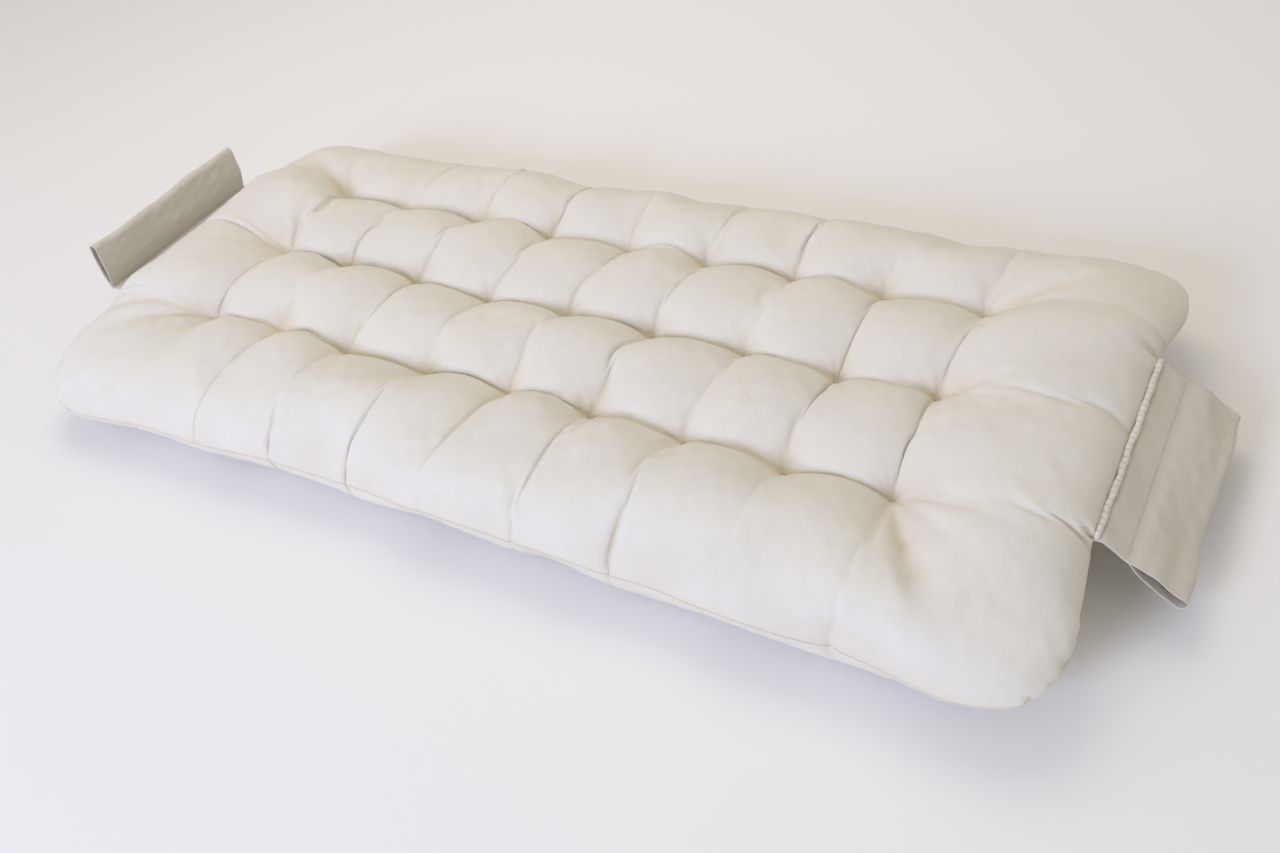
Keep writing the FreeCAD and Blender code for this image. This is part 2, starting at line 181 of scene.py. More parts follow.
def graded(marks, lane_cells, edge_cells):
    """Grid lines between marks, closest together beside each mark, and which mark or lane each one is at."""
    lines, lanes = [], []
    for k in range(len(marks) - 1):
        cells = edge_cells if k in (0, len(marks) - 2) else lane_cells
        t = np.arange(cells) / cells
        lanes.append(k + t)
        t = t - GRADING * np.sin(2 * math.pi * t) / (2 * math.pi)
        lines.append(marks[k] + (marks[k + 1] - marks[k]) * t)
    return np.append(np.concatenate(lines), marks[-1]), np.append(np.concatenate(lanes), len(marks) - 1)


def smooth_noise(cut, scale, seed):
    """Noise over the cloth, mostly from -1 to 1, with bumps about scale across: sines at odd angles."""
    source = np.random.default_rng(seed)
    total = np.zeros(cut.shape[1:])
    waves = 14
    for _ in range(waves):
        angle, phase = source.uniform(0, 2 * math.pi, 2)
        length = scale * source.uniform(1.2, 3.0)
        along = cut[0] * math.cos(angle) + cut[1] * math.sin(angle)
        total += np.sin(2 * math.pi * along / length + phase)
    return total / math.sqrt(waves)


class Panel:
    """One panel of the cover. side is 1 for the top and -1 for the bottom."""

    def __init__(self, side, ease, rise, tie_z):
        self.side = side
        self.marks = [on_cloth(axis, ease, rise) for axis in (0, 1)]
        self.tie_z = tie_z
        self.at = None
        self.refine(1)

    def refine(self, times):
        """Sets the grid and all that depends on it. A finer grid starts from the coarser one's shape."""
        grids = [
            graded(self.marks[axis], LANE_CELLS[axis] * times, EDGE_CELLS[axis] * times)
            for axis in (0, 1)
        ]
        self.lane = np.stack(np.meshgrid(grids[0][1], grids[1][1], indexing="ij"))
        self.cut = self.cut_corners(np.stack(np.meshgrid(grids[0][0], grids[1][0], indexing="ij")))
        self.at = self.first_shape() if self.at is None else finer(finer(self.at, 1), 2)
        self.at = self.at.astype(np.float32)
        self.speed = np.zeros_like(self.at)
        self.links = links_of(self.cut)
        self.crease = self.creases()
        lumps = 1 + LUMPINESS * smooth_noise(self.cut, LUMP_SIZE, 5 if self.side > 0 else 6)
        cell = np.gradient(self.cut[0], axis=0) * np.gradient(self.cut[1], axis=1)
        push = self.side * PUSH * (lumps - CREASE_PULL * self.crease) / cell
        self.push = push.astype(np.float32)
        self.bending = ((1 - self.crease) ** 2).astype(np.float32)
        self.apart = [NEAREST * np.diff(self.cut[axis], axis=axis).astype(np.float32) for axis in (0, 1)]
        self.find_ties()

    def cut_corners(self, cut):
        """The flat panel with its corners cut round."""
        depth = [
            np.clip(1 - np.minimum(cut[k] - self.marks[k][0], self.marks[k][-1] - cut[k]) / CORNER_CUT, 0, 1)
            for k in (0, 1)
        ]
        sides = [np.sign(cut[k] - (self.marks[k][0] + self.marks[k][-1]) / 2) for k in (0, 1)]
        for k in (0, 1):
            cut[k] -= sides[k] * CORNER_CUT * depth[k] * (1 - np.sqrt(1 - depth[1 - k] ** 2 / 2))
        return cut

    def first_shape(self):
        """Domes between the tufts, and a half round from the outer tufts to the seam."""
        place, rise, outward = [], [], []
        for k, tufts, half in ((0, TUFT_X, HALF_LENGTH), (1, TUFT_Y, HALF_WIDTH)):
            spots = np.concatenate([[-half], tufts, [half]])
            place.append(np.interp(self.cut[k], self.marks[k], spots))
            rise.append(np.sin(math.pi * self.lane[k]) ** 2)
            lanes = len(spots) - 1
            outward.append(np.clip(np.maximum(1 - self.lane[k], self.lane[k] - lanes + 1), 0, 1))
        edge = np.maximum(*outward)
        dome = np.sqrt(1 - (1 - rise[0]) * (1 - rise[1]))
        bump = FIRST_RISE if self.side > 0 else -self.tie_z
        z = self.tie_z * (1 - edge) + SEAM_Z * edge + bump * dome * (1 - edge**3)
        z += FIRST_BUMPS * smooth_noise(self.cut, FIRST_BUMP_SIZE, 9)
        return np.stack([place[0], place[1], z])

    def creases(self):
        """Up to 1 on the lines where the cloth is drawn in, and 0 away from them."""
        source = np.random.default_rng(3)
        lines = np.zeros(self.cut.shape[1:])

        def add(off, depth):
            np.maximum(lines, depth * np.exp(-((off / CREASE_WIDTH) ** 2)), out=lines)

        # From tuft to tuft, and on to the seam: deep along the rows, and some faint across them.
        for axis, least in enumerate(CREASE_LEAST):
            across = self.lane[1 - axis]
            span = np.minimum(across.astype(int), int(across.max()) - 1)
            for k, mark in enumerate(self.marks[axis][1:-1]):
                depth = source.uniform(least, 1.0, int(across.max()))
                wander = CREASE_WANDER * smooth_noise(self.cut, CREASE_WANDER_SIZE, 40 + 20 * axis + k)
                add(self.cut[axis] - mark - wander * np.sin(math.pi * across) ** 2, depth[span])
        # Pleats that fan out from the outer tufts to the seam.
        for axis in (0, 1):
            for end in (1, -2):
                for across in self.marks[1 - axis][1:-1]:
                    for turn in PLEAT_TURNS[axis]:
                        start = np.array([self.marks[axis][end], across])
                        self.pleat(add, source, axis, start, 1 if end < 0 else -1, turn)
        return lines

    def pleat(self, add, source, axis, start, outward, turn):
        """One pleat: it leaves its tuft at that turn, bows a little, and fades out before the seam."""
        along = (self.cut[axis] - start[0]) * outward
        seam = self.marks[axis][-1 if outward > 0 else 0]
        reach = source.uniform(*PLEAT_REACH) * abs(seam - start[0])
        turn = turn + source.uniform(-PLEAT_STRAY, PLEAT_STRAY)
        bow = source.uniform(-PLEAT_BOW, PLEAT_BOW)
        t = np.clip(along / reach, 0, 1)
        off = self.cut[1 - axis] - start[1] - along * (turn + bow * (1 - t))
        add(off, source.uniform(*PLEAT_DEPTH) * np.sin(math.pi * t**0.7) ** 2)

    def find_ties(self):
        """The points that each tuft's stitch holds, and the seam's points that a flap holds straight."""
        held, spots = [], []
        for row in range(len(TUFT_Y)):
            for column in range(TUFT_COLUMNS):
                tuft = tuft_spot(row, column, self.tie_z)
                off = [self.cut[0] - self.marks[0][column + 1], self.cut[1] - self.marks[1][row + 1]]
                reach = np.maximum(abs(off[0]) / (BIGHT_LENGTH / 2), abs(off[1]) / STITCH_REACH)
                for i, j in np.argwhere(reach < 1):
                    held.append((i, j))
                    along, across = (STITCH_GATHER[k] * off[k][i, j] for k in (0, 1))
                    spots.append(tuft + (along, across, 0))
        for i, x in ((0, -HALF_LENGTH), (self.cut.shape[1] - 1, HALF_LENGTH)):
            for j in np.flatnonzero(abs(self.cut[1, i]) < FLAP_HALF):
                held.append((i, j))
                spots.append((x, self.cut[1, i, j], SEAM_Z))
        self.held = tuple(np.array(held).T)
        self.spots = np.array(spots, np.float32).T

    def hold(self):
        self.at[:, self.held[0], self.held[1]] = self.spots
        if self.side < 0:
            np.maximum(self.at[2], 0, out=self.at[2])

    def fill(self):
        """One step of the filling's push along the cloth's own normals."""
        self.speed += cross(*np.gradient(self.at, axis=(1, 2))) * self.push
        self.speed[2] -= WEIGHT
        self.speed *= DRAG
        self.before = self.at.copy()
        self.at += self.speed

    def settle(self, bending):
        """One sweep of the cloth's own forces: along its threads and its bias, and in bending."""
        for first, second, rest, in_tension, in_compression in self.links:
            gap = self.at[second] - self.at[first]
            length = np.sqrt((gap * gap).sum(0))
            share = 0.5 * (1 - rest / np.maximum(length, 1e-6))
            gap *= np.where(share > 0, share * in_tension, share * in_compression)
            self.at[first] += gap
            self.at[second] -= gap
        for axis in (1, 2):
            bow = np.diff(self.at, 2, axis=axis) * (bending * part(self.bending[None], axis, 1, 2))
            part(self.at, axis, 1)[:] += bow / 2
            part(self.at, axis, 0)[:] -= bow / 4
            part(self.at, axis, 2)[:] -= bow / 4
            self.keep_in_order(axis)

    def keep_in_order(self, axis):
        """Stops a fold from leaning over its neighbour: along each thread, places keep their order."""
        line = self.at[axis - 1 : axis]
        low, high = part(line, axis, 0, 1), part(line, axis, 1, 1)
        short = np.maximum(self.apart[axis - 1] - (high - low), 0) / 2
        low -= short
        high += short


def cross(a, b):
    return np.stack(
        [a[1] * b[2] - a[2] * b[1], a[2] * b[0] - a[0] * b[2], a[0] * b[1] - a[1] * b[0]]
    )


def part(grid, axis, start, window=2):
    """A view of the grid without its first start and its last (window - start) points along one axis."""
    stop = grid.shape[axis] - window + start
    return grid[:, start:stop] if axis == 1 else grid[:, :, start:stop]


def links_of(cut):
    """Every thread between neighbouring points, in groups that share no point, and each group's stiffness."""
    shape = cut.shape[1:]
    links = []
    for step in ((1, 0), (0, 1), (1, 1), (1, -1)):
        stretch, crush = THREAD_HOLD if 0 in step else BIAS_HOLD
        main = 0 if step[0] else 1
        for start in (0, 1):
            first, second = [slice(None)] * 3, [slice(None)] * 3
            first[main + 1] = slice(start, shape[main] - 1, 2)
            second[main + 1] = slice(start + 1, shape[main], 2)
            if step == (1, 1):
                first[2], second[2] = slice(0, -1), slice(1, None)
            if step == (1, -1):
                first[2], second[2] = slice(1, None), slice(0, -1)
            first, second = tuple(first), tuple(second)
            rest = np.linalg.norm(cut[second] - cut[first], axis=0).astype(np.float32)
            links.append((first, second, rest, np.float32(stretch), np.float32(crush)))
    return links


def finer(grid, axis):
    """The grid with a new point half way between each two, on a smooth curve through them."""
    grid = np.moveaxis(grid, axis, 0)
    middle = (grid[:-1] + grid[1:]) / 2
    middle[1:-1] = (9 * (grid[1:-2] + grid[2:-1]) - grid[:-3] - grid[3:]) / 16
    out = np.empty((2 * len(grid) - 1, *grid.shape[1:]), grid.dtype)
    out[::2], out[1::2] = grid, middle
    return np.moveaxis(out, 0, axis)


def sew(top, bottom):
    """The two panels' edges meet in the seam."""
    for edge in (np.s_[:, 0], np.s_[:, -1], np.s_[:, :, 0], np.s_[:, :, -1]):
        middle = (top.at[edge] + bottom.at[edge]) / 2
        top.at[edge] = middle
        bottom.at[edge] = middle


def make_cover():
    panels = (Panel(1, TOP_EASE, TOP_RISE, TOP_TIE_Z), Panel(-1, BOTTOM_EASE, BOTTOM_RISE, BOTTOM_TIE_Z))
    for level, (steps, sweeps, bending) in enumerate(LEVELS):
        for panel in panels:
            if level:
                panel.refine(2**level)
        for _ in range(steps):
            for panel in panels:
                panel.fill()
            for _ in range(sweeps):
                for panel in panels:
                    panel.settle(bending)
                sew(*panels)
                for panel in panels:
                    panel.hold()
            for panel in panels:
                panel.speed = panel.at - panel.before
    return panels


# ---- making pieces ------------------------------------------------------------------------------------


def new_piece(name, points, faces, cut=None):
    """A mesh object. cut is each point's place on the flat cloth, which its material reads."""
    mesh = bpy.data.meshes.new(name)
    mesh.from_pydata([tuple(p) for p in points], [], [tuple(f) for f in faces])
    mesh.polygons.foreach_set("use_smooth", [True] * len(mesh.polygons))
    if cut is not None:
        set_attribute(mesh, "cut", "FLOAT_VECTOR", "vector", cut)
    mesh.update()
    piece = bpy.data.objects.new(name, mesh)
    bpy.context.scene.collection.objects.link(piece)
    return piece


def set_attribute(mesh, name, kind, field, values):
    values = np.ascontiguousarray(values, dtype=np.float32).ravel()
    mesh.attributes.new(name, kind, "POINT").data.foreach_set(field, values)


def quads(grid):
    """The faces of a grid of point numbers."""
    corners = (grid[:-1, :-1], grid[1:, :-1], grid[1:, 1:], grid[:-1, 1:])
    return np.stack(corners, axis=-1).reshape(-1, 4)


def rim(grid):
    """The numbers of the points round the edge of a grid, in order."""
    return np.concatenate([grid[:-1, 0], grid[-1, :-1], grid[:0:-1, -1], grid[0, :0:-1]])


def closed(upper, lower):
    """One closed mesh from two grids of points (3, rows, columns) that face each other."""
    top_grid = np.arange(upper[0].size).reshape(upper[0].shape)
    low_grid = top_grid + upper[0].size
    edge = np.stack([rim(top_grid), rim(low_grid)])
    walls = np.stack([edge[0], edge[1], np.roll(edge[1], -1), np.roll(edge[0], -1)], axis=-1)
    points = np.concatenate([upper.reshape(3, -1).T, lower.reshape(3, -1).T])
    return points, np.concatenate([quads(top_grid), quads(low_grid)[:, ::-1], walls])


def cloth_piece(name, middle, gauge, cut):
    """A piece of cloth of that thickness, from the grid of points half way through it."""
    normal = cross(*np.gradient(middle, axis=(1, 2)))
    normal /= np.linalg.norm(normal, axis=0)
    points, faces = closed(middle + normal * gauge / 2, middle - normal * gauge / 2)
    flat = np.concatenate([cut, cut[:1] * 0]).reshape(3, -1).T
    return new_piece(name, points, faces, np.concatenate([flat, flat]))


def tube(path, radius, sides=8):
    """A round thread along points, with its frame carried on from one point to the next."""
    path = np.asarray(path, float)
    along = np.gradient(path, axis=0)
    along /= np.linalg.norm(along, axis=1)[:, None]
    side = np.cross(along[0], (0.31, 0.85, 0.42))
    rings = []
    turns = np.linspace(0, 2 * math.pi, sides, endpoint=False)[:, None]
    for centre, ahead in zip(path, along):
        side = side - ahead * (side @ ahead)
        side /= np.linalg.norm(side)
        rings.append(centre + radius * (np.cos(turns) * side + np.sin(turns) * np.cross(ahead, side)))
    grid = np.arange(len(path) * sides).reshape(-1, sides)
    grid = np.concatenate([grid, grid[:, :1]], axis=1)
    caps = [tuple(grid[0, -2::-1]), tuple(grid[-1, :-1])]
    return np.concatenate(rings), [tuple(f) for f in quads(grid)[:, ::-1]] + caps


def joined(name, parts):
    """One piece from several separate solids."""
    points, faces, count = [], [], 0
    for solid, its_faces in parts:
        points.append(solid)
        faces += [tuple(int(k) + count for k in f) for f in its_faces]
        count += len(solid)
    return new_piece(name, np.concatenate(points), faces)


def rounded(corners, steps):
    """A smooth path of that many points, evenly spaced along straight runs whose corners it rounds."""
    corners = np.asarray(corners, float)
    runs = np.append(0, np.cumsum(np.linalg.norm(np.diff(corners, axis=0), axis=1)))
    places = np.linspace(0, runs[-1], steps)
    path = np.stack([np.interp(places, runs, corners[:, k]) for k in range(corners.shape[1])], axis=-1)
    for _ in range(ROUNDING):
        path[1:-1] = (path[:-2] + 2 * path[1:-1] + path[2:]) / 4
    return path


def blurred(grid, reach):
    """The grid's average over that many cells each way."""
    for axis in (0, 1):
        grid = np.moveaxis(grid, axis, 0)
        wide = np.concatenate([grid[:1].repeat(reach + 1, 0), grid, grid[-1:].repeat(reach, 0)])
        total = np.cumsum(wide, axis=0)
        grid = np.moveaxis((total[2 * reach + 1 :] - total[: -2 * reach - 1]) / (2 * reach + 1), 0, axis)
    return grid


# ---- the cover and its filling ------------------------------------------------------------------------


def pucker(panel):
    """Small gathers round each tuft, and the crumple of a cloth that has been sat on."""
    normal = cross(*np.gradient(panel.at, axis=(1, 2)))
    normal *= panel.side / np.maximum(np.linalg.norm(normal, axis=0), 1e-9)
    source = np.random.default_rng(14 if panel.side > 0 else 15)
    rise = CRUMPLE * (1 - panel.crease) * smooth_noise(panel.cut, CRUMPLE_SIZE, 16)
    rise *= smooth_noise(panel.cut, LUMP_SIZE, 17)
    for x in panel.marks[0][1:-1]:
        for y in panel.marks[1][1:-1]:
            far = np.hypot(panel.cut[0] - x, panel.cut[1] - y)
            turn = np.arctan2(panel.cut[1] - y, panel.cut[0] - x)
            gathers = [
                source.uniform(0.4, 1) * np.sin(folds * turn + source.uniform(0, 2 * math.pi))
                for folds in PUCKER_FOLDS
            ]
            near = np.exp(-((far / PUCKER_REACH) ** 2)) * np.clip(far / FLAT_ROUND_TUFT, 0, 1) ** 2
            rise += PUCKER * near * sum(gathers) * (1 - panel.crease)
    edge = np.minimum(seam_distance(panel, 0), seam_distance(panel, 1))
    panel.at += (normal * rise * np.clip(edge / FLAT_BESIDE_SEAM, 0, 1)).astype(np.float32)
    if panel.side < 0:
        np.maximum(panel.at[2], 0, out=panel.at[2])


def seam_distance(panel, axis):
    """How far each point of the flat cloth is from the nearer seam along one axis."""
    return np.minimum(panel.cut[axis] - panel.marks[axis][0], panel.marks[axis][-1] - panel.cut[axis])


def cover_piece(top, bottom):
    """The two panels as one closed mesh: they share the seam's points."""
    rows, columns = top.cut.shape[1:]
    upper = np.arange(rows * columns).reshape(rows, columns)
    on_seam = np.ones((rows, columns), bool)
    on_seam[1:-1, 1:-1] = False
    inner = np.cumsum(~on_seam.ravel()).reshape(rows, columns) - 1 + rows * columns
    lower = np.where(on_seam, upper, inner)

    def both(of_top, of_bottom):
        return np.concatenate([of_top.reshape(len(of_top), -1).T, of_bottom[:, ~on_seam].T])

    cuts = [np.concatenate([panel.cut, np.full_like(panel.cut[:1], panel.side)]) for panel in (top, bottom)]
    faces = np.concatenate([quads(upper), quads(lower)[:, ::-1]])
    piece = new_piece("futon_cover", both(top.at, bottom.at), faces, both(*cuts))
    # The fold attribute is the mask for the painted shade in the cover's creases.
    set_attribute(piece.data, "fold", "FLOAT", "value", both(fold_depth(top), fold_depth(bottom)))
    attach(piece, "mattress")
    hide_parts("cover_top_panel", "cover_bottom_panel")
    dress(piece, cover_cotton)


def fold_depth(panel):
    """How far each point is drawn in below the cloth around it, from 0 to about 1."""
    height = panel.at[2] * panel.side
    return np.clip((blurred(height, FOLD_CELLS) - height) / FOLD_DEPTH, 0, 1)[None]


def filling_piece(name, top, bottom):
    """A layer of filling: its share of the space between the panels, as the CAD layers share it."""
    low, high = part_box(name)
    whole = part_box("cover_top_panel")[1].z
    # Coarser than the cloth, and ending a little way in from the seam.
    coarse = slice(FILLING_MARGIN, -FILLING_MARGIN, FILLING_CELLS)
    inside = (slice(None), coarse, coarse)
    floor, roof = bottom.at[inside], top.at[inside]
    heights = (low.z + LAYER_GAP / 2, high.z - LAYER_GAP / 2)
    shares = [LAYER_INSET + (1 - 2 * LAYER_INSET) * z / whole for z in heights]
    levels = [floor + (roof - floor) * share for share in shares]
    points, faces = closed(levels[1], levels[0])
    cut = np.concatenate([top.cut[inside], top.cut[:1, coarse, coarse] * 0])
    flat = cut.reshape(3, -1).T
    piece = new_piece(name + "_stuffing", points, faces, np.concatenate([flat, flat]))
    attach(piece, "mattress")
    wool = name.startswith("wool")
    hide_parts(name)
    dress(piece, wool_batting if wool else cotton_batting)


def knot_path(centre):
    """A trefoil, as an overhand knot lies when it is drawn tight."""
    turn = np.linspace(0, 2 * math.pi, 40)
    flat = [np.sin(turn) + 2 * np.sin(2 * turn), np.cos(turn) - 2 * np.cos(2 * turn), -np.sin(3 * turn)]
    return centre + np.stack(flat, axis=-1) * KNOT_RADIUS * KNOT_SHAPE


def strand_path(top, foot):
    """Up through the mattress, along the top as a short bight, and down again."""
    half = np.array([BIGHT_LENGTH / 2, 0, 0])
    lift = np.array([0, 0, 1.4 * TWINE_RADIUS])
    corners = [foot - half / 4, top - half - lift, top - 0.8 * half + lift]
    corners += [top + 0.8 * half + lift, top + half - lift, foot + half / 4]
    return rounded(corners, 90)


def tail_path(knot, source):
    """A tail of twine that leaves its knot in some direction and droops a little."""
    turn = source.uniform(0, 2 * math.pi)
    away = np.array([math.cos(turn), math.sin(turn), 0])
    droop = np.array([0, 0, -KNOT_RADIUS])
    reach = source.uniform(*TAIL_REACH) * KNOT_RADIUS
    return rounded([knot, knot + away * reach * 0.5 + droop * 0.4, knot + away * reach + droop * 1.3], 14)


def tie_row_piece(row):
    """One row's ties: twine through the mattress in a double strand, knotted underneath with short tails."""
    source = np.random.default_rng(60 + row)
    parts = []
    for column in range(TUFT_COLUMNS):
        top = tuft_spot(row, column, TOP_TIE_Z)
        foot = tuft_spot(row, column, BOTTOM_TIE_Z)
        for strand in (-1.1 * TWINE_RADIUS, 1.1 * TWINE_RADIUS):
            parts.append(tube(strand_path(top, foot) + (0, strand, 0), TWINE_RADIUS))
        knot = foot - (0, 0, KNOT_RADIUS)
        parts.append(tube(knot_path(knot), TWINE_RADIUS))
        for _ in range(2):
            parts.append(tube(tail_path(knot, source), TWINE_RADIUS))
    piece = joined(f"tufting_twine_{ROW_NAMES[row]}_row", parts)
    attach(piece, "mattress")
    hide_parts(f"tuft_ties_{ROW_NAMES[row]}_row")
    dress(piece, tufting_twine)


# ---- the flaps ----------------------------------------------------------------------------------------


def joint_place(name):
    return np.array(next(joint["pos_m"] for joint in frame["joints"] if joint["name"] == name))


def flap_cut(lengths, rows):
    """Places on a flap's flat cloth: along its path, and across the flap."""
    return np.stack(np.meshgrid(lengths, np.linspace(-FLAP_HALF, FLAP_HALF, rows), indexing="ij"))


def lengths_along(path):
    return np.append(0, np.cumsum(np.linalg.norm(np.diff(path, axis=0), axis=1)))


def web_piece(end, root, crease, outward):
    """The flat part of a flap, two layers of cloth, from inside the seam to the crease."""
    seam = np.array([outward * (HALF_LENGTH - SEAM_TUCK), root[2]])
    far = crease[[0, 2]] - root[[0, 2]]
    far /= np.linalg.norm(far)
    path = rounded([seam, root[[0, 2]], crease[[0, 2]] + far * FLAP_GAUGE], 40)
    cut = flap_cut(lengths_along(path), 120)
    # It is straight at the seam and along the pocket's stitches, and slack between them.
    t = cut[0] / cut[0].max()
    slack = np.clip(np.minimum(t, 0.8 - t) / 0.3, 0, 1)
    wave = WEB_SLACK * slack * smooth_noise(cut * [[[0.6]], [[1]]], 0.035, 70 if outward > 0 else 71)
    middle = np.stack([path[:, :1] + 0 * t, cut[1], path[:, 1:] + wave])
    piece = cloth_piece(f"{end}_flap_web_cloth", middle, 2 * FLAP_GAUGE, cut)
    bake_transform(piece)
    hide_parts(f"{end}_flap_web")
    dress(piece, flap_cotton)


def toward(start, end):
    gap = end - start
    return gap / np.linalg.norm(gap)


def pocket_section(length):
    """The way round a pocket, along it and off its middle: sewn flat, then open, with a round free edge."""
    wall = [(-FLAP_GAUGE, FLAP_GAUGE / 2), (POCKET_SEWN, FLAP_GAUGE / 2)]
    wall += [(along, share * POCKET_HALF) for along, share in POCKET_FLARE]
    wall.append((length - 1.1 * POCKET_HALF, POCKET_HALF))
    centre = length - POCKET_HALF - FLAP_GAUGE / 2
    turns = np.linspace(0.3, math.pi - 0.3, 7)
    nose = [(centre + POCKET_HALF * math.sin(turn), POCKET_HALF * math.cos(turn)) for turn in turns]
    return rounded(wall + nose + [(u, -v) for u, v in wall[::-1]], 130)


def pocket_piece(end, crease, reach, seed):
    """A flap's pocket: a flat tube of cloth, open at both short ends. reach is the vector along it."""
    length = np.linalg.norm(reach)
    ahead = reach / length
    thick = np.cross(ahead, (0, 1, 0))
    path = pocket_section(length)
    cut = flap_cut(lengths_along(path), 150)
    u, v = path[:, :1] + 0 * cut[1], path[:, 1:] + 0 * cut[1]
    # Both walls sway together, more towards the free edge, and each has wrinkles of its own.
    free = np.clip(u / length, 0, 1)
    place = np.stack([u, cut[1]])
    sway = FLAP_SWAY * free * smooth_noise(place * [[[0.5]], [[1]]], 0.10, seed)
    ridges = smooth_noise(place * [[[1]], [[0.25]]], 0.030, seed + 1)
    ridges *= FLAP_RIDGE * np.sqrt(free) * (1 - free**4)
    wrinkles = FLAP_WRINKLE * np.sqrt(free) * smooth_noise(cut, 0.018, seed + 2)
    v = v + sway + ridges + wrinkles
    u = u + FLAP_EDGE * free * smooth_noise(place[::-1] * [[[1]], [[0]]], 0.09, seed + 3)
    y = cut[1] * (1 + 0.006 * smooth_noise(place * [[[1]], [[0]]], 0.05, seed + 4))
    middle = crease[:, None, None] + ahead[:, None, None] * u + thick[:, None, None] * v
    middle[1] = y
    piece = cloth_piece(f"{end}_flap_pocket_cloth", middle, FLAP_GAUGE, cut)
    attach(piece, f"{end}_pocket")
    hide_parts(f"{end}_flap_pocket")
    dress(piece, flap_cotton)


def roll_at(turn, y):
    """A point on the rolled seam's surface: a ridge of turned-in cloth, twisted and lumpy as it was sewn."""
    low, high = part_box("closing_seam_roll")
    radius = (high.x - low.x) / 2
    place = np.stack([turn * radius, y])
    end = np.clip((FLAP_HALF - abs(y)) / ROLL_ENDS, 0, 1) ** 0.5
    size = radius * (1 + 0.08 * np.sin(2 * turn + y / 0.009) + 0.12 * smooth_noise(place, 0.018, 90))
    size = size * (0.35 + 0.65 * end)
    line = np.stack([y * 0, y])
    x = (low.x + high.x) / 2 - ROLL_WANDER + ROLL_WANDER * smooth_noise(line, 0.05, 91)
    z = high.z - radius + 0.0008 * smooth_noise(line, 0.04, 92)
    return np.stack([x + size * np.cos(turn), y, z + size * np.sin(turn)])


def roll_piece():
    """The hand-closed seam at the foot."""
    turn, y = np.meshgrid(
        np.linspace(0, 2 * math.pi, 33), np.linspace(-FLAP_HALF, FLAP_HALF, 420), indexing="ij"
    )
    points = roll_at(turn, y)[:, :-1]
    grid = np.arange(points[0].size).reshape(points[0].shape)
    grid = np.concatenate([grid, grid[:1]])
    caps = [tuple(grid[:-1, 0][::-1]), tuple(grid[:-1, -1])]
    faces = [tuple(f) for f in quads(grid)] + caps
    cut = np.stack([turn * 0.005, y, y * 0])[:, :-1].reshape(3, -1).T
    roll = new_piece("closing_seam_roll_cloth", points.reshape(3, -1).T, faces, cut)
    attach(roll, "mattress")
    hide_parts("closing_seam_roll")
    dress(roll, cover_cotton)


def whip_piece():
    """The whip stitches over that seam."""
    source = np.random.default_rng(95)
    parts = []
    for start in np.arange(-FLAP_HALF + ROLL_ENDS, FLAP_HALF - ROLL_ENDS, WHIP_PITCH):
        start += source.uniform(-WHIP_STRAY, WHIP_STRAY)
        turns = np.linspace(-0.35, math.pi + 0.35, 22)
        ys = start + np.linspace(-0.5, 0.5, 22) * WHIP_SLANT
        path = roll_at(turns, ys).T
        axis = path.mean(0)
        out = (path - (axis[0], 0, axis[2])) * (1, 0, 1)
        path += out / np.linalg.norm(out, axis=1)[:, None] * THREAD_RADIUS * 0.7
        parts.append(tube(path, THREAD_RADIUS, 6))
    stitches = joined("closing_whip_stitches", parts)
    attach(stitches, "mattress")
    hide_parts("closing_seam_stitches")
    dress(stitches, sewing_thread)


# ---- materials ----------------------------------------------------------------------------------------


def add(tree, kind, values=(), **settings):
    """A new node: values are its inputs' numbers or the sockets that feed them, by name or place."""
    made = tree.nodes.new("ShaderNode" + kind)
    for name, setting in settings.items():
        setattr(made, name, setting)
    for name, value in dict(values).items():
        if isinstance(value, bpy.types.NodeSocket):
            tree.links.new(value, made.inputs[name])
        else:
            made.inputs[name].default_value = value
    return made


def mixed(tree, share, first, second, blend="MIX"):
    """A mix of two colours."""
    return add(tree, "Mix", {0: share, 6: first, 7: second}, data_type="RGBA", blend_type=blend).outputs[2]


def calculated(tree, operation, first, second):
    return add(tree, "Math", {0: first, 1: second}, operation=operation).outputs[0]


def noise(tree, place, scale, detail=2.0, stretch=(1, 1, 1)):
    """Noise from 0 to 1 with about scale bumps to the metre."""
    stretched = add(tree, "Mapping", {"Vector": place, "Scale": stretch}).outputs[0]
    values = {"Vector": stretched, "Scale": scale, "Detail": detail}
    return add(tree, "TexNoise", values).outputs["Fac"]


def ranged(tree, value, low, high, to_low=0.0, to_high=1.0):
    values = {"Value": value, 1: low, 2: high, 3: to_low, 4: to_high}
    return add(tree, "MapRange", values).outputs[0]


def bumps(tree, *heights):
    """A chain of bumps, from the coarsest: each is a height, its depth in metres and its strength."""
    normal = None
    for height, depth, strength in heights:
        values = {"Height": height, "Distance": depth, "Strength": strength}
        if normal is not None:
            values["Normal"] = normal
        normal = add(tree, "Bump", values).outputs[0]
    return normal


def new_material(name, roughness, sheen):
    made = bpy.data.materials.new(name)
    made.use_nodes = True
    shader = made.node_tree.nodes["Principled BSDF"]
    shader.inputs["Roughness"].default_value = roughness
    shader.inputs["Sheen Weight"].default_value = sheen
    shader.inputs["Sheen Roughness"].default_value = 0.5
    shader.inputs["Specular IOR Level"].default_value = 0.2
    return made, made.node_tree, shader


